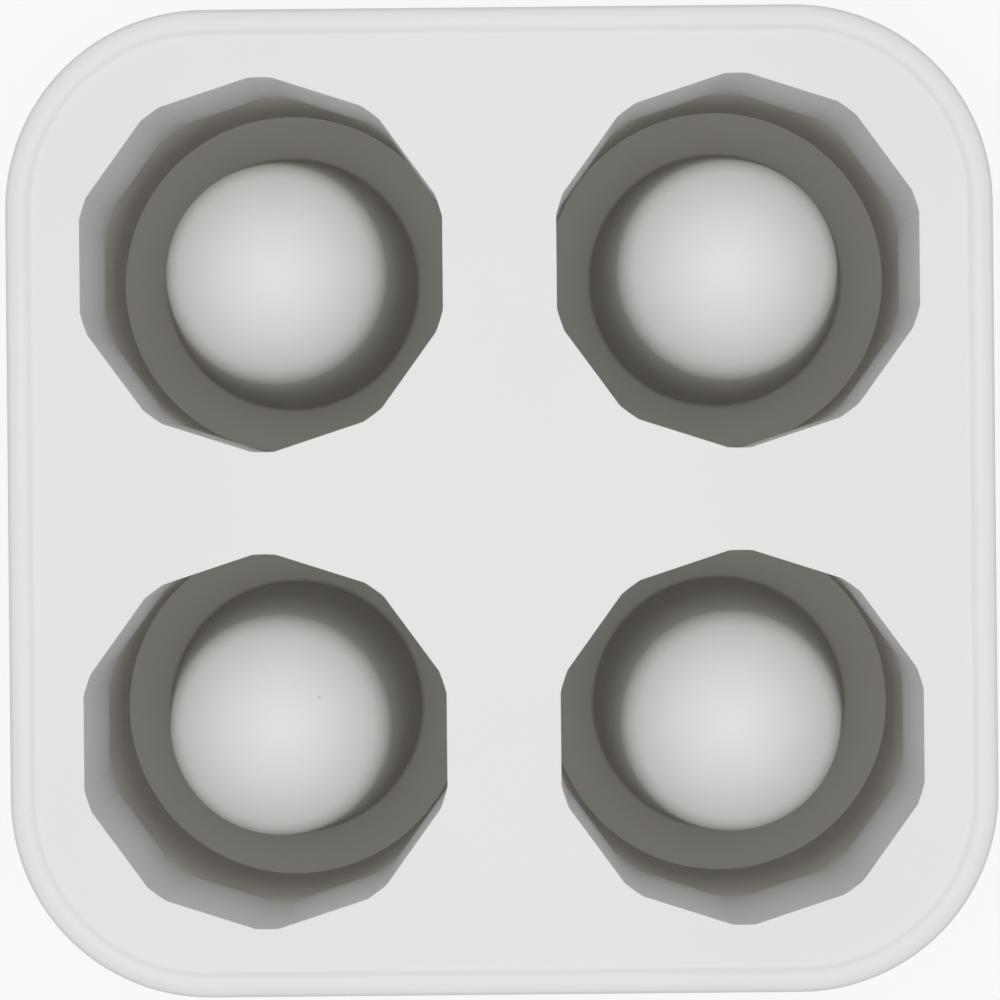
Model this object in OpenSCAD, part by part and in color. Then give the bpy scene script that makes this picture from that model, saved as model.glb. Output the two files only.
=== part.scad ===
// Shot glass ice mould: a soft block with four ten-sided cavities that lifts off four core plugs.
// Each plug closes one cavity from below and its core forms the inside of an ice glass, which
// freezes upside down with its rim on the ring floor.
// Millimetres, +Z up, origin at the middle of the underside, front towards -Y.

/* [Cavities] */
// Diameter of the round lower end of a cavity, where the rim of the glass forms
bore_d = 51.6; // [46:0.2:58]
// Number of flats round a cavity
flats = 10; // [6:1:12]
// How far each flat stands in from the round bore at the mouth
flat_in = 1.2; // [0.8:0.1:2]
// How far the blunt corners between the flats stand in at the mouth
blunt_in = 0.4; // [0.1:0.05:0.6]
// Depth of a cavity from the deck to the ring floor
cavity_depth = 56.2; // [50:0.2:70]
// Height of the plain round band above the ring floor, where the flats have run out
band_h = 20; // [3:0.5:28]
// Height of the arches above the band, in which the flats run out
arch_h = 10; // [5:0.5:18]
// Width of the deck between two neighbouring bores
land_w = 13.1; // [11:0.1:20]
// Width of the deck between a bore and the outside of the rim
margin_w = 8.85; // [8.4:0.05:14]

/* [Block] */
// Radius of the block's outside corners
corner_r = 27; // [18:1:32]
// Thickness of the deck
deck_t = 3; // [2:0.2:5]
// Radius of the rolled rim
rim_r = 1.9; // [1.2:0.1:2.4]
// How far the rim rises above the deck
rim_rise = 0.8; // [0.4:0.1:1.1]
// How far the rim stands out from the skirt
rim_proud = 0.4; // [0.2:0.1:0.8]
// Wall thickness of the skirt
skirt_t = 2.6; // [2:0.1:3.2]
// How far the skirt is drawn in at its foot
skirt_draft = 1; // [0.2:0.1:1.5]
// Wall thickness of a sleeve
sleeve_t = 2.6; // [2:0.1:3.2]
// Thickness of the webs that tie the sleeves to each other and to the skirt
web_t = 2.4; // [1.6:0.1:4]
// How far the webs reach down from the deck
web_h = 30; // [15:1:45]
// Size of the chamfer that leads a plug into its sleeve
lead_in = 0.6; // [0.3:0.1:1]

/* [Core plugs] */
// Thickness of the ice at the rim of the glass
ice_rim_t = 6.6; // [5.5:0.1:9]
// Thickness of the ice under the glass, between the deck and the top of the core
ice_base_t = 16; // [10:0.5:22]
// Height of the tapered side of the core
core_side_h = 30.5; // [24:0.5:32]
// How much narrower in radius the core is at its shoulder than at the ring floor
core_taper = 3.3; // [1.5:0.1:5]
// Radius of the rounded shoulder below the dome
shoulder_r = 7; // [4:0.5:8]
// Wall thickness of the hollow core
core_t = 2.6; // [2:0.1:3.5]
// Thickness of the foot that the sleeve stands on
foot_t = 1.6; // [1.2:0.1:3]
// Height of the seat between the foot and the ring floor
seat_h = 3.4; // [3:0.1:6]
// Number of sealing grooves round the seat
seal_grooves = 2; // [1:1:3]
// Depth of a sealing groove
groove_deep = 0.4; // [0.2:0.05:0.8]

/* [Fits] */
// Radial clearance between a seat and its sleeve
seat_gap = 0.05; // [0.02:0.01:0.1]

/* [Hidden] */
$fn = 96;
// Extra length by which a cut runs past the face that it opens
over = 1;

bore_r = bore_d / 2;
pitch = bore_d + land_w;
block_w = 2 * (bore_d + margin_w) + land_w;
sleeve_r = bore_r + sleeve_t;

floor_z = foot_t + seat_h;
deck_z = floor_z + cavity_depth;
rim_z = deck_z + rim_rise - rim_r;

// Walls: flats and blunt corners lean alike from the mouth down, until the flats run out in arches
flat_r = bore_r - flat_in;
wall_slope = blunt_in / cavity_depth;
band_z = floor_z + band_h;
arch_z = band_z + arch_h;

// Largest share of the dome's height that the shoulder radius may take
shoulder_share = 0.75;

// Core outline: a tapered side, a rounded shoulder and a shallow dome, each tangent to the next
core_r = bore_r - ice_rim_t;
core_tilt = atan(core_taper / core_side_h);
core_top_z = deck_z - ice_base_t;
dome_h = cavity_depth - ice_base_t - core_side_h;
bend_r = min(shoulder_r, shoulder_share * dome_h);
shoulder_x = core_r - core_taper - bend_r * cos(core_tilt);
shoulder_z = floor_z + core_side_h - bend_r * sin(core_tilt);
crown_h = core_top_z - shoulder_z;
dome_r = (pow(shoulder_x, 2) + pow(crown_h, 2) - pow(bend_r, 2)) / (2 * (crown_h - bend_r));
dome_z = core_top_z - dome_r;
dome_turn = atan2(shoulder_x, shoulder_z - dome_z);

seat_r = bore_r - seat_gap;
groove_w = seat_h / (2 * seal_grooves + 1);

silicone = [0.93, 0.93, 0.92];
core_silicone = [0.9, 0.9, 0.89];

// Distance from the middle to the outside of the skirt at a height
function skirt_out(z) = block_w / 2 - rim_proud - skirt_draft * (1 - z / rim_z);

// Places its children at the four cavities
module at_cavities()
    for (x = [-1, 1], y = [-1, 1])
        translate([x * pitch / 2, y * pitch / 2, 0]) children();

// Sweeps an edge profile round the block: x is measured inwards from the outside of the rim, y is up
module round_the_rim()
    for (side = [0 : 3])
        rotate(90 * side) {
            translate([block_w / 2, block_w / 2 - corner_r, 0])
                rotate([90, 0, 0])
                    linear_extrude(block_w - 2 * corner_r) mirror([1, 0, 0]) children();
            translate([block_w / 2 - corner_r, block_w / 2 - corner_r, 0])
                rotate_extrude(angle = 90) translate([corner_r, 0]) mirror([1, 0, 0]) children();
        }

// Rolled rim on top of the drafted skirt
module edge_profile() {
    translate([rim_r, rim_z]) circle(rim_r);
    polygon([
        [rim_proud + skirt_draft, 0],
        [rim_proud + skirt_draft + skirt_t, 0],
        [rim_proud + skirt_t, rim_z],
        [rim_proud, rim_z]
    ]);
}

module rounded_square(w, r) {
    square([w, w - 2 * r], center = true);
    square([w - 2 * r, w], center = true);
    for (x = [-1, 1], y = [-1, 1])
        translate([x * (w / 2 - r), y * (w / 2 - r)]) circle(r);
}

module deck()
    translate([0, 0, deck_z - deck_t])
        linear_extrude(deck_t) rounded_square(block_w - 2 * rim_r, corner_r - rim_r);

module sleeve()
    translate([0, 0, foot_t]) cylinder(r = sleeve_r, h = deck_z - foot_t);

// A web along x between two distances from the middle, at one offset across it
module web(from, to, across)
    translate([from, across - web_t / 2, deck_z - web_h])
        cube([to - from, web_t, web_h - deck_t / 2]);

module webs() {
    web_end = skirt_out(deck_z - web_h / 2) - skirt_t / 2;
    for (turn = [0 : 3], across = [-1, 1])
        rotate(90 * turn) web(pitch / 2 + bore_r, web_end, across * pitch / 2);
    for (turn = [0, 90], across = [-1, 1])
        rotate(turn) web(-land_w / 2, land_w / 2, across * pitch / 2);
}

// Everything outside one flat and its arch, from above the mouth down to the band
module flat_cut()
    rotate([90, 0, 0])
        linear_extrude(bore_d, center = true)
            polygon([
                [flat_r - wall_slope * 2 * over, deck_z + 2 * over],
                [flat_r + wall_slope * (deck_z - arch_z), arch_z],
                [bore_r, band_z],
                [bore_r + over, band_z],
                [bore_r + over, deck_z + 2 * over]
            ]);

// Space inside one sleeve: a round bore with a lead-in, narrowed by the flats above the band
module cavity()
    difference() {
        rotate_extrude()
            polygon([
                [0, foot_t - over],
                [bore_r + lead_in + over, foot_t - over],
                [bore_r, foot_t + lead_in],
                [bore_r, floor_z],
                [bore_r - wall_slope * (cavity_depth + over), deck_z + over],
                [0, deck_z + over]
            ]);
        for (i = [0 : flats - 1])
            rotate(360 * i / flats) flat_cut();
    }

module mould_block()
    color(silicone)
        difference() {
            union() {
                round_the_rim() edge_profile();
                deck();
                at_cavities() sleeve();
                webs();
            }
            at_cavities() cavity();
        }

// Half outline of the core, set in by a wall thickness, from a height up to the dome
module core_outline(inset, from_z) {
    arc_r = bend_r - inset;
    cap_r = dome_r - inset;
    tangent = [shoulder_x + arc_r * cos(core_tilt), shoulder_z + arc_r * sin(core_tilt)];
    cap_edge = [cap_r * sin(dome_turn), dome_z + cap_r * cos(dome_turn)];
    polygon([
        [0, from_z],
        [tangent.x + (tangent.y - from_z) * tan(core_tilt), from_z],
        tangent,
        [0, tangent.y]
    ]);
    polygon([[0, shoulder_z], [shoulder_x, shoulder_z], cap_edge, [0, cap_edge.y]]);
    intersection() {
        translate([shoulder_x, shoulder_z]) circle(arc_r);
        translate([0, floor_z]) square([core_r, core_top_z]);
    }
    intersection() {
        translate([0, dome_z]) circle(cap_r);
        translate([0, cap_edge.y]) square(2 * cap_r);
    }
}

// Foot and seat with its sealing grooves, as a half outline
module seat_outline()
    difference() {
        union() {
            square([sleeve_r, foot_t]);
            square([seat_r, floor_z]);
        }
        for (i = [0 : seal_grooves - 1])
            translate([seat_r - groove_deep, foot_t + (2 * i + 1) * groove_w])
                square([groove_deep + over, groove_w]);
    }

module core_plug(x, y)
    color(core_silicone)
        translate([x * pitch / 2, y * pitch / 2, 0])
            rotate_extrude()
                difference() {
                    union() {
                        seat_outline();
                        core_outline(0, floor_z - over);
                    }
                    core_outline(core_t, -over);
                }

module core_front_left() core_plug(-1, -1);
module core_front_right() core_plug(1, -1);
module core_rear_left() core_plug(-1, 1);
module core_rear_right() core_plug(1, 1);

mould_block();
core_front_left();
core_front_right();
core_rear_left();
core_rear_right();
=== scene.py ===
import math

import bmesh
import bpy
from bpy.props import FloatProperty, FloatVectorProperty, IntProperty, PointerProperty
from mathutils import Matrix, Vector


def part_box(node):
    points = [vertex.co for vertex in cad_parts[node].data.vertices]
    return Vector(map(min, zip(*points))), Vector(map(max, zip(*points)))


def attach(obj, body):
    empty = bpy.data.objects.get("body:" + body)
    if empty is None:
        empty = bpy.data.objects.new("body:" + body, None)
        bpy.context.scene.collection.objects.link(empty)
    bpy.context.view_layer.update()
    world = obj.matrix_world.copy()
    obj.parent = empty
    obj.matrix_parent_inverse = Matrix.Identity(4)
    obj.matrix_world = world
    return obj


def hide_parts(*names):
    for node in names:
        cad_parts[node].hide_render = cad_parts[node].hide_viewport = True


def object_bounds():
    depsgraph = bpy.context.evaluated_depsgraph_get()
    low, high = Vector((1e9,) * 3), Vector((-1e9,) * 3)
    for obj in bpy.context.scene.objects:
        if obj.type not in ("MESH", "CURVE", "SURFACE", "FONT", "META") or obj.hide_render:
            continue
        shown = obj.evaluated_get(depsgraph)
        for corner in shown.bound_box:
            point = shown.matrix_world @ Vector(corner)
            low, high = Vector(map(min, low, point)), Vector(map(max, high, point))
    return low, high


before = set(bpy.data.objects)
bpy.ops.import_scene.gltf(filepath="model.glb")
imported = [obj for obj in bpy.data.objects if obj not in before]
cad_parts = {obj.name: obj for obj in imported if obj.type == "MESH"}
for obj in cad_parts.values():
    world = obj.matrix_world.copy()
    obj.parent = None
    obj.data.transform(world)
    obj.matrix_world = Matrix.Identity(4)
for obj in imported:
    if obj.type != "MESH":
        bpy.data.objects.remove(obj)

bl_info = {
    "name": "Shot glass ice mould",
    "version": (1, 0, 0),
    "blender": (4, 5, 0),
    "location": "3D View > Sidebar > Ice mould",
    "description": "Models the silicone block and the four core plugs of a shot glass ice mould",
    "category": "Object",
}

CAD_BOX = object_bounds()
BLOCK_LOW, BLOCK_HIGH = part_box("mould_block")
PLUG_LOW, PLUG_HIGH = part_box("core_front_left")
PLUG_PLACES = {
    "front_left": (-1, -1),
    "front_right": (1, -1),
    "rear_left": (-1, 1),
    "rear_right": (1, 1),
}

# Modelling, lengths in metres
OVER = 0.001  # how far a cut runs past the face that it opens
TOUCH = 1e-6  # distance within which two points are the same
BORE_STEPS = 160  # steps round a sleeve and a bore
PLUG_STEPS = 128  # steps round a core plug
CORNER_STEPS = 28  # steps round a corner of the block
WEDGE_WIDTH = 1.9  # width of a wedge in half widths of its flat, just short of its neighbours
SMOOTH_ANGLE = math.radians(30)  # sharper edges keep a hard line
MOUTH_ANGLE = math.radians(45)  # least bend at the edge of a mouth
CREASE_ANGLE = math.radians(4.5)  # least bend between two flats, corners or arches

# Patterns of the silicone, scales in repeats per metre
CLOUDS = {"Scale": 28, "Detail": 3, "Roughness": 0.5}
MOTTLE = {"Scale": 240, "Detail": 4, "Roughness": 0.6}
GRAIN = {"Scale": 2600, "Detail": 2, "Roughness": 0.5}
SPECKS = {"Scale": 190}
CLOUD_SHARE = 0.7  # share of the clouds in the colour, beside the mottle
GRAIN_SHARE = 0.6  # share of the grain in the bumps, beside the mottle
BUMP_STRENGTH = 0.35
ROUGHNESS_SPREAD = 0.12
SPECK_RADIUS = 0.05  # in widths of a cell
SPECK_CHANCE = 0.035  # share of the cells with a speck
SPECK_COVER = 0.55  # share of the colour that a speck hides
SILICONE_IOR = 1.41
WALL_PAINTED_SHADE_MARGIN = 0.0005  # how far past the bore a wall's painted shade reaches

# Colour sockets of a Mix node, whose names its other kinds share
MIX_FIRST, MIX_SECOND, MIX_RESULT = 6, 7, 2

# Stage, lengths in metres
WHITE = (1, 1, 1, 1)
FLOOR_PAINT = (0.9, 0.9, 0.9, 1)
FLOOR_GLOW = 0.8  # share of plain white in the floor, the rest keeps the shadow
FLOOR_WIDTH = 6
FLOOR_DROP = 0.0001  # gap that keeps the floor clear of the plugs' feet
SENSOR_WIDTH = 36  # millimetres
CLIP_START = 0.01


def length(name, description, default):
    return FloatProperty(name=name, description=description, default=default,
                         subtype="DISTANCE", unit="LENGTH", precision=5)


def share(name, description, default):
    return FloatProperty(name=name, description=description, default=default,
                         min=0, max=1, subtype="FACTOR")


def colour(name, description, default):
    return FloatVectorProperty(name=name, description=description, default=default,
                               subtype="COLOR", size=3, min=0, max=1)


class BlockSizes(bpy.types.PropertyGroup):
    """Sizes of the block's deck, rim, skirt, sleeves and webs."""
    width: length("Width", "Width over the rim", round(BLOCK_HIGH.x - BLOCK_LOW.x, 4))
    top: length("Top", "Height of the rim's crest above the table", round(BLOCK_HIGH.z, 4))
    corner_radius: length("Corner radius", "Radius of the outside corners", 0.027)
    deck_thickness: length("Deck thickness", "Thickness of the deck", 0.003)
    rim_radius: length("Rim radius", "Radius of the rolled rim", 0.0019)
    rim_rise: length("Rim rise", "Rise of the rim above the deck", 0.0008)
    rim_fillet: length("Rim fillet", "Radius between the rim and the deck", 0.0011)
    rim_camber: length("Rim camber", "Radius of the rim's flattened top, from its crest outwards",
                       0.0035)
    rim_edge: length("Rim edge", "Radius of the rim's outer edge", 0.0011)
    rim_proud: length("Rim overhang", "Overhang of the rim past the skirt", 0.0004)
    skirt_thickness: length("Skirt thickness", "Wall thickness of the skirt", 0.0026)
    skirt_draft: length("Skirt draft", "How far the skirt is drawn in at its foot", 0.001)
    foot_round: length("Foot round", "Radius on the foot of the skirt, sleeves and webs", 0.0005)
    sleeve_thickness: length("Sleeve thickness", "Wall thickness of a sleeve at its foot", 0.0026)
    web_thickness: length("Web thickness", "Thickness of the webs", 0.0024)
    web_height: length("Web height", "How far the webs reach down from the deck", 0.03)


class CavitySizes(bpy.types.PropertyGroup):
    """Sizes of the four cavities."""
    spacing: length("Spacing", "Distance between the middles of two cavities",
                    -PLUG_LOW.x - PLUG_HIGH.x)
    bore_radius: length("Bore radius", "Radius of the round lower end", 0.0258)
    depth: length("Depth", "Depth from the deck to the ring floor", 0.0562)
    band_height: length("Band height", "Height of the plain band above the ring floor", 0.020)
    arch_height: length("Arch height", "Height of the arches in which the flats run out", 0.010)
    flat_count: IntProperty(name="Flats", description="Number of flats round a cavity",
                            default=10, min=3)
    flat_in: length("Flat depth", "How far a flat stands in from the bore at the mouth", 0.0012)
    blunt_in: length("Blunt depth", "How far the blunt corners stand in at the mouth", 0.0004)
    lead_in: length("Lead-in", "Chamfer that leads a plug into its sleeve", 0.0006)
    mouth_round: length("Mouth round", "Radius on the edge of a mouth", 0.00012)


class PlugSizes(bpy.types.PropertyGroup):
    """Sizes of a core plug."""
    top: length("Top", "Height of the core's top above the table", PLUG_HIGH.z)
    foot_radius: length("Foot radius", "Radius of the foot", (PLUG_HIGH.x - PLUG_LOW.x) / 2)
    foot_thickness: length("Foot thickness", "Thickness of the foot", 0.0016)
    seat_height: length("Seat height", "Height of the seat between the foot and the ring floor",
                        0.0034)
    seat_gap: length("Seat gap", "Clearance between the seat and its sleeve", 0.00002)
    seat_round: length("Seat round", "Radius on the upper edge of the seat", 0.00005)
    groove_count: IntProperty(name="Grooves", description="Number of sealing grooves",
                              default=2, min=0)
    groove_depth: length("Groove depth", "Depth of a sealing groove", 0.0004)
    base_radius: length("Base radius", "Radius of the core at the ring floor", 0.0192)
    base_fillet: length("Base fillet", "Radius between the ring floor and the core", 0.0006)
    taper: length("Taper", "How much narrower the core is at its shoulder", 0.0033)
    side_height: length("Side height", "Height of the tapered side", 0.0305)
    shoulder_radius: length("Shoulder radius", "Radius of the shoulder below the dome", 0.007)
    wall: length("Wall", "Wall thickness of the hollow core", 0.0026)


class SiliconeFinish(bpy.types.PropertyGroup):
    """Colours and surface of the silicone, with painted shade deep in the cavities and on the plugs
    towards the ring floor.
    """
    block_colour: colour("Block colour", "Colour of the block", (0.7, 0.695, 0.69))
    # Painted shade: a wall is painted darker and warmer below its arches' tops, where the cavity lies
    # in shade.
    block_painted_shade: colour("Block deep down", "Warmer, darker colour of a wall below its arches' tops",
                       (0.645, 0.62, 0.574))
    core_colour: colour("Core colour", "Colour of the tops of the core plugs", (0.725, 0.72, 0.715))
    # Painted shade: the plugs are painted darker and warmer towards the ring floor, where they lie in
    # shade.
    core_painted_shade: colour("Core deep down", "Darker, warmer colour of the plugs at the ring floor",
                      (0.6, 0.582, 0.545))
    # Painted shade: the shares of the depth over which a wall's painted shade sets in.
    wall_painted_shade_span: FloatVectorProperty(
        name="Wall turn", description="Shares of the depth between which a wall turns deep",
        default=(0.48, 0.53), size=2, min=0, max=1)
    # Painted shade: the power of the depth with which the plugs' painted shade grows.
    core_painted_shade_fade: FloatProperty(
        name="Core fade", description="Power of the depth with which the plugs turn deep",
        default=0.5, min=0)
    clouding: share("Clouding", "Strength of the soft clouding in the colour", 0.03)
    roughness: share("Roughness", "Mean roughness of the skin", 0.55)
    grain: length("Grain", "Height of the fine moulded grain", 0.00002)
    speck_colour: colour("Speck colour", "Colour of the dust specks", (0.3, 0.29, 0.27))


class StageSettings(bpy.types.PropertyGroup):
    """Camera, light and floor."""
    camera_place: FloatVectorProperty(
        name="Camera place", description="Place of the camera above the mould",
        default=(0.00475, 0.00883, 0.4826), subtype="XYZ", unit="LENGTH", size=3)
    camera_turn: FloatProperty(
        name="Camera turn", description="Turn of the camera about the vertical",
        default=math.radians(-0.55), subtype="ANGLE", unit="ROTATION")
    lens: FloatProperty(name="Lens", description="Focal length in millimetres", default=111.9,
                        unit="CAMERA")
    shift: FloatVectorProperty(name="Shift", description="Shift of the lens",
                               default=(-0.0362, -0.0645), size=2)
    dome: FloatProperty(name="Dome", description="Strength of the even light from all round",
                        default=0.5, min=0)
    lamp_power: FloatProperty(name="Lamp power", description="Power of the lamp overhead",
                              default=0.96, min=0, subtype="POWER", unit="POWER")
    lamp_size: length("Lamp size", "Width of the lamp overhead", 0.4)
    lamp_height: length("Lamp height", "Height of the lamp above the table", 0.4)


class Wire:
    """A node socket that takes part in arithmetic: each expression adds its Math node."""

    def __init__(self, tree, socket=None):
        self.tree = tree
        self.socket = socket

    def node(self, kind, settings=None, inputs=None, output=0):
        """Adds a node, sets its settings and then its sockets, and returns one of its outputs."""
        made = self.tree.nodes.new(kind)
        for name, value in (settings or {}).items():
            setattr(made, name, value)
        for key, value in (inputs or {}).items():
            if isinstance(value, Wire):
                self.tree.links.new(value.socket, made.inputs[key])
            else:
                made.inputs[key].default_value = value
        return Wire(self.tree, made.outputs[output])

    def blend(self, factor, first, second):
        """Mixes two colours, each a socket or three numbers."""
        first, second = (tone if isinstance(tone, Wire) else (*tone, 1) for tone in (first, second))
        return self.node("ShaderNodeMix", {"data_type": "RGBA"},
                         {"Factor": factor, MIX_FIRST: first, MIX_SECOND: second}, MIX_RESULT)

    def math(self, operation, first, second):
        return self.node("ShaderNodeMath", {"operation": operation}, {0: first, 1: second})

    def __add__(self, other):
        return self.math("ADD", self, other)

    def __radd__(self, other):
        return self.math("ADD", other, self)

    def __sub__(self, other):
        return self.math("SUBTRACT", self, other)

    def __rsub__(self, other):
        return self.math("SUBTRACT", other, self)

    def __mul__(self, other):
        return self.math("MULTIPLY", self, other)

    def __rmul__(self, other):
        return self.math("MULTIPLY", other, self)

    def __pow__(self, other):
        return self.math("POWER", self, other)

    def __rpow__(self, other):
        return self.math("POWER", other, self)

    def below(self, limit):
        return self.math("LESS_THAN", self, limit)

    def unsigned(self):
        return self.math("ABSOLUTE", self, 0)

    def or_else(self, other):
        return self.math("MAXIMUM", self, other)


def depth_share(wire, place, top, floor):
    """How far down a point lies, from 0 at the top to 1 at the floor."""
    z = wire.node("ShaderNodeSeparateXYZ", inputs={0: place}, output="Z")
    return wire.node("ShaderNodeMath", {"operation": "MULTIPLY", "use_clamp": True},
                     {0: top - z, 1: 1 / (top - floor)})


def in_cavity(wire, place, cavity):
    """1 within the four bores and 0 outside, the mask of the walls' painted shade."""
    half = cavity.spacing / 2
    x, y = (wire.node("ShaderNodeSeparateXYZ", inputs={0: place}, output=axis) for axis in "XY")
    aside, along = x.unsigned() - half, y.unsigned() - half
    return (aside * aside + along * along).below((cavity.bore_radius + WALL_PAINTED_SHADE_MARGIN) ** 2)


def silicone(name, tint, painted_shade_tint, depth, finish):
    """Soft matt silicone: painted shade deep down, faint clouds, a moulded grain and dust specks.
    depth makes the share of the painted shade from a Wire and the place on the surface."""
    material = bpy.data.materials.new(name)
    material.use_nodes = True
    tree = material.node_tree
    shader = tree.nodes["Principled BSDF"]
    wire = Wire(tree)
    place = wire.node("ShaderNodeTexCoord", output="Object")
    clouds, mottle, grain = (
        wire.node("ShaderNodeTexNoise", inputs={"Vector": place, **pattern})
        for pattern in (CLOUDS, MOTTLE, GRAIN))
    cells, chance = (
        wire.node("ShaderNodeTexVoronoi", inputs={"Vector": place, **SPECKS}, output=result)
        for result in ("Distance", "Color"))
    pick = wire.node("ShaderNodeSeparateColor", inputs={"Color": chance}, output="Red")
    specks = cells.below(SPECK_RADIUS) * pick.below(SPECK_CHANCE) * SPECK_COVER

    # Share of the painted shade, darker and warmer deep down.
    deep = depth(wire, place)
    dark, light = (
        wire.blend(deep, [level * gain for level in tint], [level * gain for level in painted_shade_tint])
        for gain in (1 - finish.clouding, 1 + finish.clouding))
    tone = wire.blend(clouds * CLOUD_SHARE + mottle * (1 - CLOUD_SHARE), dark, light)
    tone = wire.blend(specks, tone, finish.speck_colour)
    rough = mottle * ROUGHNESS_SPREAD + (finish.roughness - ROUGHNESS_SPREAD / 2)
    height = grain * GRAIN_SHARE + mottle * (1 - GRAIN_SHARE)
    bump = wire.node("ShaderNodeBump", inputs={"Height": height, "Strength": BUMP_STRENGTH,
                                               "Distance": finish.grain})

    tree.links.new(tone.socket, shader.inputs["Base Color"])
    tree.links.new(rough.socket, shader.inputs["Roughness"])
    tree.links.new(bump.socket, shader.inputs["Normal"])
    shader.inputs["IOR"].default_value = SILICONE_IOR
    return material


def background_ray(wire):
    """1 on the rays that show the background: those of the camera, of gloss and of glass."""
    seen, gloss, glass = (wire.node("ShaderNodeLightPath", output=name)
                          for name in ("Is Camera Ray", "Is Glossy Ray", "Is Transmission Ray"))
    return seen.or_else(gloss).or_else(glass)


def deck_height(block):
    """Height of the deck's upper face."""
    return block.top - block.rim_rise


def arc(centre, radius, start, end, steps):
    """Points on an arc, angles in degrees."""
    turns = [math.radians(start + (end - start) * step / steps) for step in range(steps + 1)]
    return [(centre[0] + radius * math.cos(turn), centre[1] + radius * math.sin(turn))
            for turn in turns]


def draw_outline(name, points):
    """Draws a chain of edges in the XZ plane, one extruded vertex after another, starting from
    a plane merged to a point, and stays in edit mode."""
    bpy.ops.object.select_all(action="DESELECT")
    bpy.ops.mesh.primitive_plane_add(size=OVER)
    piece = bpy.context.object
    piece.name = piece.data.name = name
    bpy.ops.object.mode_set(mode="EDIT")
    bpy.ops.mesh.select_mode(type="VERT")
    bpy.ops.mesh.merge(type="CENTER")
    chain = [Vector((x, 0, z)) for x, z in points]
    bpy.ops.transform.translate(value=chain[0])
    for here, there in zip(chain, chain[1:]):
        bpy.ops.mesh.extrude_vertices_move(TRANSFORM_OT_translate={"value": there - here})
    bpy.ops.mesh.select_all(action="SELECT")
    return piece


def lathe(name, points, steps):
    """Turns an outline that starts and ends on the axis into a closed round solid at the origin."""
    piece = draw_outline(name, points)
    bpy.ops.mesh.spin(steps=steps, angle=math.tau, center=(0, 0, 0), axis=(0, 0, 1))
    bpy.ops.mesh.select_all(action="SELECT")
    bpy.ops.mesh.remove_doubles(threshold=TOUCH)
    bpy.ops.mesh.normals_make_consistent(inside=False)
    bpy.ops.object.mode_set(mode="OBJECT")
    return piece


def select_edges(piece, wanted):
    """Selects, in edit mode, the edges for which wanted(edge) holds, and returns their number."""
    bpy.ops.mesh.select_mode(type="EDGE")
    bpy.ops.mesh.select_all(action="DESELECT")
    mesh = bmesh.from_edit_mesh(piece.data)
    found = [edge for edge in mesh.edges if wanted(edge)]
    for edge in found:
        edge.select_set(True)
    bmesh.update_edit_mesh(piece.data)
    return len(found)


def lies_at(edge, height):
    """Whether an edge lies level at a height."""
    return all(abs(end.co.z - height) < TOUCH for end in edge.verts)


def bends(edge, angle):
    """Whether the two faces at an edge meet at more than an angle."""
    return len(edge.link_faces) == 2 and edge.calc_face_angle() > angle


def reach(end, cavity):
    """Distance of a vertex from the axis of the cavity in its quarter of the block."""
    half = cavity.spacing / 2
    return Vector((abs(end.co.x) - half, abs(end.co.y) - half)).length


def pick_only(piece):
    """Selects one piece and makes it the active one."""
    bpy.ops.object.select_all(action="DESELECT")
    piece.select_set(True)
    bpy.context.view_layer.objects.active = piece


def copy_to(piece, name, place=(0, 0, 0), turn=0.0):
    """Copies a piece, mesh included, and puts the copy's place and turn into its mesh."""
    pick_only(piece)
    bpy.ops.object.duplicate(linked=False)
    made = bpy.context.object
    made.name = made.data.name = name
    made.rotation_euler = (0, 0, turn)
    made.location = place
    bpy.ops.object.transform_apply(location=True, rotation=True, scale=True)
    return made


def join(pieces, name):
    """Makes one object of several."""
    bpy.ops.object.select_all(action="DESELECT")
    for piece in pieces:
        piece.select_set(True)
    bpy.context.view_layer.objects.active = pieces[0]
    bpy.ops.object.join()
    made = bpy.context.object
    made.name = made.data.name = name
    return made


def discard(piece):
    pick_only(piece)
    bpy.ops.object.delete()


def combine(piece, other, operation):
    """Joins the other solid to a piece or cuts it out, and takes the other away."""
    pick_only(piece)
    bpy.ops.object.modifier_add(type="BOOLEAN")
    modifier = piece.modifiers[-1]
    modifier.operation = operation
    modifier.object = other
    modifier.solver = "EXACT"
    bpy.ops.object.modifier_apply(modifier=modifier.name)
    discard(other)


def smooth(piece, crisp=None):
    """Smooth shading with sharp corners and, where crisp(edge) holds, sharp creases."""
    pick_only(piece)
    bpy.ops.object.shade_smooth_by_angle(angle=SMOOTH_ANGLE)
    if crisp:
        bpy.ops.object.mode_set(mode="EDIT")
        select_edges(piece, crisp)
        bpy.ops.mesh.mark_sharp()
        bpy.ops.object.mode_set(mode="OBJECT")
    bpy.ops.object.modifier_add(type="WEIGHTED_NORMAL")
    modifier = piece.modifiers[-1]
    modifier.keep_sharp = True
    bpy.ops.object.modifier_apply(modifier=modifier.name)


def dress(piece, material):
    """Gives a piece one material."""
    piece.data.materials.clear()
    piece.data.materials.append(material)


def at_cavities(piece, spacing, name):
    """Copies a piece to the four cavities as one object."""
    half = spacing / 2
    copies = [copy_to(piece, f"{name}_{place}", (x * half, y * half, 0))
              for place, (x, y) in PLUG_PLACES.items()]
    discard(piece)
    return join(copies, name)


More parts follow.
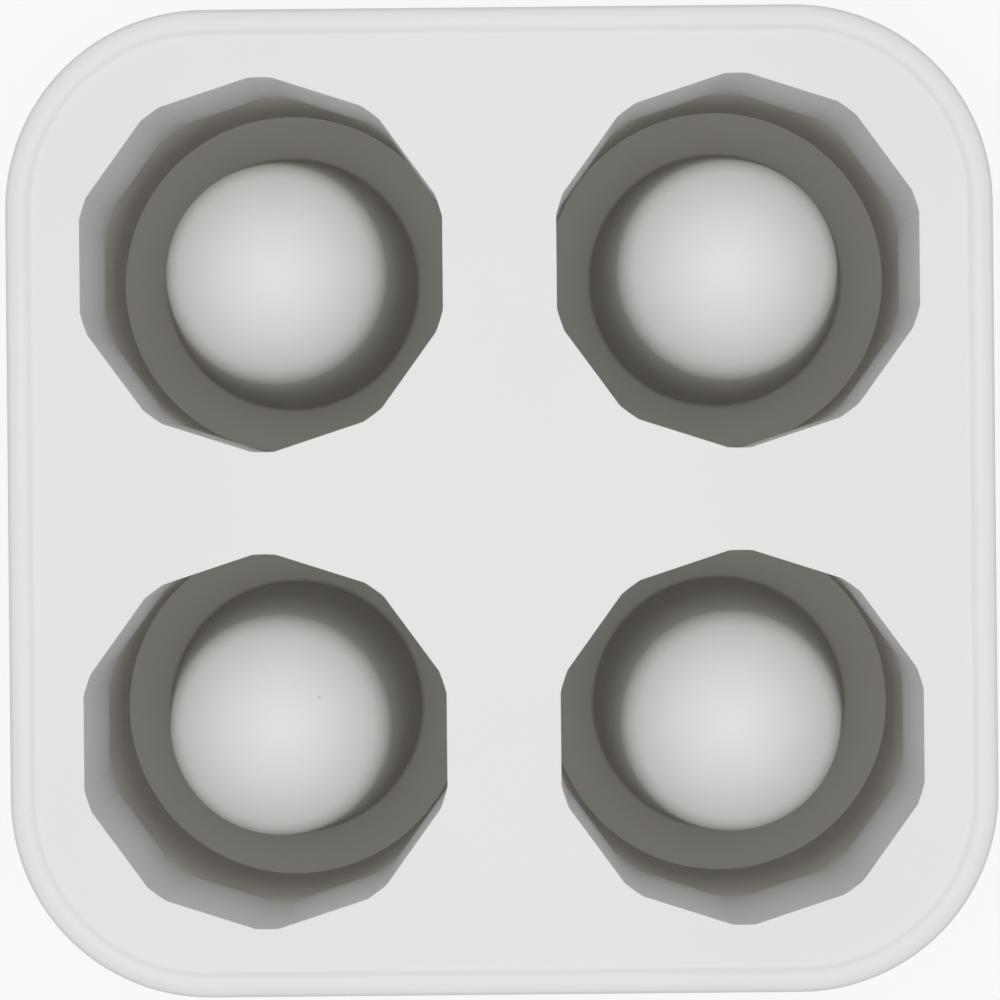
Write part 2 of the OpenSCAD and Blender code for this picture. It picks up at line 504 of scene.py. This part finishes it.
def edge_outline(block):
    """Outline across the block's edge, from the deck over rim and skirt to the deck's underside.
    The first number of a point is its distance in from the outside of the rim."""
    deck_z = deck_height(block)
    rim, rim_z = block.rim_radius, block.top - block.rim_radius
    fillet, camber, edge = block.rim_fillet, block.rim_camber, block.rim_edge

    rise = deck_z + fillet - rim_z
    fillet_x = rim + math.sqrt((rim + fillet) ** 2 - rise ** 2)
    lean = math.degrees(math.atan2(rise, fillet_x - rim))
    points = arc((fillet_x, deck_z + fillet), fillet, 270, 180 + lean, steps=6)
    points += arc((rim, rim_z), rim, lean, 90, steps=8)

    camber_z = block.top - camber
    edge_z = camber_z + math.sqrt((camber - edge) ** 2 - (rim - edge) ** 2)
    turn = math.degrees(math.atan2(edge_z - camber_z, edge - rim))
    points += arc((rim, camber_z), camber, 90, turn, steps=5)[1:]
    points += arc((edge, edge_z), edge, turn, 180, steps=9)[1:]
    meet = 180 + math.degrees(math.acos((rim - block.rim_proud) / rim))
    points += arc((rim, rim_z), rim, 180, meet, steps=5)

    outer = block.rim_proud + block.skirt_draft
    inner = outer + block.skirt_thickness
    foot = block.foot_round
    points += arc((outer + foot, foot), foot, 180, 270, steps=5)
    points += arc((inner - foot, foot), foot, 270, 360, steps=5)
    under = deck_z - block.deck_thickness
    wall = inner - block.skirt_draft * under / rim_z
    points += arc((wall + 2 * foot, under - 2 * foot), 2 * foot, 180, 90, steps=5)
    return points


def block_shell(block):
    """Deck, rim and skirt: the edge outline swept round one quarter, mirrored, and closed by
    the deck."""
    half = block.width / 2
    straight = half - block.corner_radius
    outline = [(half - inwards, z) for inwards, z in edge_outline(block)]
    shell = draw_outline("silicone_block", outline)
    bpy.ops.mesh.extrude_region_move(TRANSFORM_OT_translate={"value": (0, straight, 0)})
    bpy.ops.mesh.spin(steps=CORNER_STEPS, angle=-math.pi / 2, center=(straight, straight, 0),
                      axis=(0, 0, 1))
    bpy.ops.mesh.extrude_region_move(TRANSFORM_OT_translate={"value": (-straight, 0, 0)})
    bpy.ops.mesh.select_all(action="SELECT")
    bpy.ops.mesh.remove_doubles(threshold=TOUCH)
    bpy.ops.object.mode_set(mode="OBJECT")
    bpy.ops.object.modifier_add(type="MIRROR")
    mirror = shell.modifiers[-1]
    mirror.use_axis = (True, True, False)
    mirror.merge_threshold = TOUCH
    bpy.ops.object.modifier_apply(modifier=mirror.name)
    bpy.ops.object.mode_set(mode="EDIT")
    deck_z = deck_height(block)
    for height in (deck_z, deck_z - block.deck_thickness):
        if not select_edges(shell, lambda edge: edge.is_boundary and lies_at(edge, height)):
            raise RuntimeError(f"the block has no open edge at {height:.4f} m")
        bpy.ops.mesh.edge_face_add()
    bpy.ops.mesh.select_all(action="SELECT")
    bpy.ops.mesh.normals_make_consistent(inside=False)
    bpy.ops.object.mode_set(mode="OBJECT")
    return shell


def block_sleeves(block, cavity, plug):
    """Outsides of the four sleeves, from their rounded feet up into the deck."""
    radius = cavity.bore_radius + block.sleeve_thickness
    low = plug.foot_thickness
    high = deck_height(block) - block.deck_thickness / 2
    foot = block.foot_round
    points = [(0, low), *arc((radius - foot, low + foot), foot, 270, 360, steps=5),
              (radius, high), (0, high)]
    return at_cavities(lathe("sleeve", points, BORE_STEPS), cavity.spacing, "sleeves")


def web(name, start, end, across, block):
    """A web along X with a rounded lower edge."""
    deck_z = deck_height(block)
    low, high = deck_z - block.web_height, deck_z - block.deck_thickness / 2
    bpy.ops.object.select_all(action="DESELECT")
    bpy.ops.mesh.primitive_cube_add(size=1)
    piece = bpy.context.object
    piece.name = piece.data.name = name
    bpy.ops.object.mode_set(mode="EDIT")
    bpy.ops.transform.resize(value=(end - start, block.web_thickness, high - low),
                             center_override=(0, 0, 0))
    bpy.ops.transform.translate(value=((start + end) / 2, across, (low + high) / 2))

    def lower_side(edge):
        first, second = edge.verts
        return lies_at(edge, low) and abs(first.co.y - second.co.y) < TOUCH

    select_edges(piece, lower_side)
    bpy.ops.mesh.bevel(offset=2 * block.foot_round, segments=4, affect="EDGES")
    bpy.ops.object.mode_set(mode="OBJECT")
    return piece


def block_webs(block, cavity):
    """Webs between the sleeves, and from the sleeves to the skirt."""
    half = cavity.spacing / 2
    rim_z = block.top - block.rim_radius
    lean = block.skirt_draft * (1 - (deck_height(block) - block.web_height / 2) / rim_z)
    skirt = block.width / 2 - block.rim_proud - lean - block.skirt_thickness / 2
    land = half - cavity.bore_radius
    outer = [web("outer_web", half + cavity.bore_radius, skirt, side * half, block)
             for side in (-1, 1)]
    inner = [web("inner_web", -land, land, side * half, block) for side in (-1, 1)]
    pieces = [copy_to(piece, "web", turn=quarter * math.pi / 2)
              for webs, quarters in ((outer, 4), (inner, 2))
              for quarter in range(quarters) for piece in webs]
    for piece in outer + inner:
        discard(piece)
    return join(pieces, "webs")


def flat_wedge(block, cavity):
    """Solid outside one flat and its arch, narrow enough to stay clear of the wedges beside it."""
    deck_z = deck_height(block)
    band_z = deck_z - cavity.depth + cavity.band_height
    arch_z = band_z + cavity.arch_height
    bore = cavity.bore_radius
    flat = bore - cavity.flat_in
    slope = cavity.blunt_in / cavity.depth
    high = deck_z + 2 * OVER
    points = [(flat - slope * 2 * OVER, high), (flat + slope * (deck_z - arch_z), arch_z),
              (bore, band_z), (bore + OVER, band_z), (bore + OVER, high)]
    width = WEDGE_WIDTH * flat * math.tan(math.pi / cavity.flat_count)
    wedge = draw_outline("wedge", points)
    bpy.ops.mesh.edge_face_add()
    bpy.ops.transform.translate(value=(0, -width / 2, 0))
    bpy.ops.mesh.extrude_region_move(TRANSFORM_OT_translate={"value": (0, width, 0)})
    bpy.ops.mesh.select_all(action="SELECT")
    bpy.ops.mesh.normals_make_consistent(inside=False)
    bpy.ops.object.mode_set(mode="OBJECT")
    return wedge


def cavity_space(block, cavity, plug):
    """Space inside the sleeves: a round bore with a lead-in, narrowed by the flats above the band."""
    deck_z = deck_height(block)
    low, high = plug.foot_thickness - OVER, deck_z + OVER
    bore = cavity.bore_radius
    mouth = bore - cavity.blunt_in * (1 + OVER / cavity.depth)
    points = [(0, low), (bore + cavity.lead_in + OVER, low),
              (bore, plug.foot_thickness + cavity.lead_in), (bore, deck_z - cavity.depth),
              (mouth, high), (0, high)]
    space = lathe("cavity", points, BORE_STEPS)
    wedge = flat_wedge(block, cavity)
    wedges = [copy_to(wedge, "wedge", turn=math.tau * flat / cavity.flat_count)
              for flat in range(cavity.flat_count)]
    discard(wedge)
    combine(space, join(wedges, "wedges"), "DIFFERENCE")
    return at_cavities(space, cavity.spacing, "cavities")


def round_mouths(piece, block, cavity):
    """Takes the sharp edge off the four mouths."""
    deck_z = deck_height(block)

    def on_mouth(edge):
        inside = all(reach(end, cavity) < cavity.bore_radius for end in edge.verts)
        return inside and lies_at(edge, deck_z) and bends(edge, MOUTH_ANGLE)

    pick_only(piece)
    bpy.ops.object.mode_set(mode="EDIT")
    bpy.ops.mesh.select_all(action="SELECT")
    bpy.ops.mesh.remove_doubles(threshold=TOUCH)
    bpy.ops.mesh.dissolve_degenerate(threshold=TOUCH)
    if not select_edges(piece, on_mouth):
        raise RuntimeError("no edge was found round the mouths")
    bpy.ops.mesh.bevel(offset=cavity.mouth_round, segments=3, affect="EDGES", loop_slide=False)
    bpy.ops.object.mode_set(mode="OBJECT")


def wall_crease(edge, block, cavity):
    """Whether an edge is a crease between two of a cavity's flats, corners and arches."""
    high = deck_height(block) - 2 * TOUCH
    low = deck_height(block) - cavity.depth
    on_wall = all(reach(end, cavity) <= cavity.bore_radius and low < end.co.z < high
                  for end in edge.verts)
    return on_wall and bends(edge, CREASE_ANGLE)


def ring_floor(plug):
    """Height of the ring floor round a core."""
    return plug.foot_thickness + plug.seat_height


def plug_outline(plug, cavity):
    """Outline of a core plug from the top of its dome, round its foot, to the top of its hollow."""
    floor_z = ring_floor(plug)
    tilt = math.atan(plug.taper / plug.side_height)
    tip = math.degrees(tilt)
    shoulder = plug.shoulder_radius
    bend = (plug.base_radius - plug.taper - shoulder * math.cos(tilt),
            floor_z + plug.side_height - shoulder * math.sin(tilt))
    crown = plug.top - bend[1]
    dome = (bend[0] ** 2 + crown ** 2 - shoulder ** 2) / (2 * (crown - shoulder))
    middle = (0, plug.top - dome)
    turn = 90 - math.degrees(math.atan2(bend[0], bend[1] - middle[1]))
    points = arc(middle, dome, 90, turn, steps=14) + arc(bend, shoulder, turn, tip, steps=14)[1:]

    fillet = plug.base_fillet
    lift = fillet * (1 - math.sin(tilt))
    fillet_x = plug.base_radius + fillet * math.cos(tilt) - lift * math.tan(tilt)
    points += arc((fillet_x, floor_z + fillet), fillet, 180 + tip, 270, steps=5)

    seat = cavity.bore_radius - plug.seat_gap
    brow = plug.seat_round
    points += arc((seat - brow, floor_z - brow), brow, 90, 0, steps=3)
    groove = seat - plug.groove_depth
    step = plug.seat_height / (2 * plug.groove_count + 1)
    ease = plug.groove_depth / 2  # slant of a groove's sides, and radius of the foot's edges
    for index in range(plug.groove_count):
        high = floor_z - (2 * index + 1) * step
        low = high - step
        points += [(seat, high), (groove, high - ease), (groove, low + ease), (seat, low)]
    points += [(seat, plug.foot_thickness)]

    foot = plug.foot_radius - ease
    points += arc((foot, plug.foot_thickness - ease), ease, 90, 0, steps=3)
    points += arc((foot, ease), ease, 0, -90, steps=3)
    hollow = arc(bend, shoulder - plug.wall, tip, turn, steps=10)
    mouth = hollow[0][0] + hollow[0][1] * math.tan(tilt)
    points += arc((mouth + ease, ease), ease, 270, 180, steps=3)
    points += hollow + arc(middle, dome - plug.wall, turn, 90, steps=12)[1:]
    return points


class MOULD_OT_block(bpy.types.Operator):
    """Models the silicone block with its rim, skirt, sleeves, webs and ten-sided cavities"""
    bl_idname = "mould.block"
    bl_label = "Silicone block"

    def execute(self, context):
        scene = context.scene
        block, cavity, plug = scene.mould_block, scene.mould_cavity, scene.mould_plug
        finish = scene.mould_finish
        piece = block_shell(block)
        combine(piece, block_sleeves(block, cavity, plug), "UNION")
        combine(piece, block_webs(block, cavity), "UNION")
        combine(piece, cavity_space(block, cavity, plug), "DIFFERENCE")
        round_mouths(piece, block, cavity)
        smooth(piece, lambda edge: wall_crease(edge, block, cavity))

        # Painted shade: the walls are painted darker and warmer below the arches' tops, inside the
        # bores.
        def depth(wire, place):
            deck_z = deck_height(block)
            down = depth_share(wire, place, deck_z, deck_z - cavity.depth)
            start, end = finish.wall_painted_shade_span
            turned = wire.node("ShaderNodeMapRange",
                               inputs={"Value": down, "From Min": start, "From Max": end})
            return in_cavity(wire, place, cavity) * turned

        dress(piece, silicone("block_silicone", finish.block_colour, finish.block_painted_shade, depth,
                              finish))
        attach(piece, "block")
        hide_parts("mould_block")
        return {"FINISHED"}


class MOULD_OT_core_plugs(bpy.types.Operator):
    """Models one hollow core plug and copies it to the four cavities"""
    bl_idname = "mould.core_plugs"
    bl_label = "Core plugs"

    def execute(self, context):
        scene = context.scene
        cavity, plug, finish = scene.mould_cavity, scene.mould_plug, scene.mould_finish
        first = lathe("core_plug", plug_outline(plug, cavity), PLUG_STEPS)
        smooth(first)

        # Painted shade: the plugs turn darker and warmer towards the ring floor.
        def depth(wire, place):
            return depth_share(wire, place, plug.top, ring_floor(plug)) ** finish.core_painted_shade_fade

        dress(first, silicone("core_silicone", finish.core_colour, finish.core_painted_shade, depth, finish))
        half = cavity.spacing / 2
        for place, (x, y) in PLUG_PLACES.items():
            piece = copy_to(first, f"core_plug_{place}", (x * half, y * half, 0))
            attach(piece, "cores")
            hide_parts(f"core_{place}")
        discard(first)
        return {"FINISHED"}


class MOULD_OT_stage(bpy.types.Operator):
    """Sets up the white floor, the soft light and the camera above the mould"""
    bl_idname = "mould.stage"
    bl_label = "Stage"

    def execute(self, context):
        scene = context.scene
        stage = scene.mould_stage
        scene.view_settings.view_transform = "Standard"
        bpy.ops.object.select_all(action="DESELECT")
        bpy.ops.mesh.primitive_plane_add(size=FLOOR_WIDTH,
                                         location=(0, 0, CAD_BOX[0][2] - FLOOR_DROP))
        floor = context.object
        floor.name = floor.data.name = "floor"
        dress(floor, self.white_floor())
        self.even_light(scene, stage)
        bpy.ops.object.light_add(type="AREA", location=(0, 0, stage.lamp_height))
        lamp = context.object
        lamp.name = "lamp_overhead"
        lamp.visible_camera = False
        lamp.data.size = stage.lamp_size
        lamp.data.energy = stage.lamp_power
        bpy.ops.object.camera_add(location=stage.camera_place, rotation=(0, 0, stage.camera_turn))
        camera = context.object
        camera.name = "camera_above"
        camera.data.sensor_width = SENSOR_WIDTH
        camera.data.lens = stage.lens
        camera.data.shift_x, camera.data.shift_y = stage.shift
        camera.data.clip_start = CLIP_START
        scene.camera = camera
        return {"FINISHED"}

    @staticmethod
    def white_floor():
        """White to the camera, with a trace of the shadow left in it."""
        material = bpy.data.materials.new("floor_white")
        material.use_nodes = True
        tree = material.node_tree
        tree.nodes.clear()
        wire = Wire(tree)
        seen = background_ray(wire)
        paint = wire.node("ShaderNodeBsdfDiffuse", inputs={"Color": FLOOR_PAINT})
        glow = wire.node("ShaderNodeEmission", inputs={"Color": WHITE, "Strength": 1})
        mixed = wire.node("ShaderNodeMixShader", inputs={0: seen * FLOOR_GLOW, 1: paint, 2: glow})
        out = tree.nodes.new("ShaderNodeOutputMaterial")
        tree.links.new(mixed.socket, out.inputs["Surface"])
        return material

    @staticmethod
    def even_light(scene, stage):
        """Even light from all round, white where the camera sees it."""
        world = bpy.data.worlds.new("even_light")
        scene.world = world
        world.use_nodes = True
        tree = world.node_tree
        wire = Wire(tree)
        strength = background_ray(wire) * (1 - stage.dome) + stage.dome
        background = tree.nodes["Background"]
        background.inputs["Color"].default_value = WHITE
        tree.links.new(strength.socket, background.inputs["Strength"])


class MOULD_PT_sidebar(bpy.types.Panel):
    """Lists the sizes and the steps that model the mould"""
    bl_idname = "MOULD_PT_sidebar"
    bl_label = "Shot glass ice mould"
    bl_space_type = "VIEW_3D"
    bl_region_type = "UI"
    bl_category = "Ice mould"

    def draw(self, context):
        scene = context.scene
        steps = ((MOULD_OT_block, scene.mould_block), (None, scene.mould_cavity),
                 (MOULD_OT_core_plugs, scene.mould_plug), (None, scene.mould_finish),
                 (MOULD_OT_stage, scene.mould_stage))
        for step, group in steps:
            box = self.layout.box()
            for name in group.__annotations__:
                box.prop(group, name)
            if step:
                box.operator(step.bl_idname)


GROUPS = {
    "mould_block": BlockSizes,
    "mould_cavity": CavitySizes,
    "mould_plug": PlugSizes,
    "mould_finish": SiliconeFinish,
    "mould_stage": StageSettings,
}
CLASSES = (*GROUPS.values(), MOULD_OT_block, MOULD_OT_core_plugs, MOULD_OT_stage, MOULD_PT_sidebar)


def register():
    for cls in CLASSES:
        bpy.utils.register_class(cls)
    for name, group in GROUPS.items():
        setattr(bpy.types.Scene, name, PointerProperty(type=group))


def unregister():
    for name in GROUPS:
        delattr(bpy.types.Scene, name)
    for cls in reversed(CLASSES):
        bpy.utils.unregister_class(cls)


def main():
    register()
    bpy.ops.mould.block()
    bpy.ops.mould.core_plugs()
    bpy.ops.mould.stage()


if __name__ == "__main__":
    main()
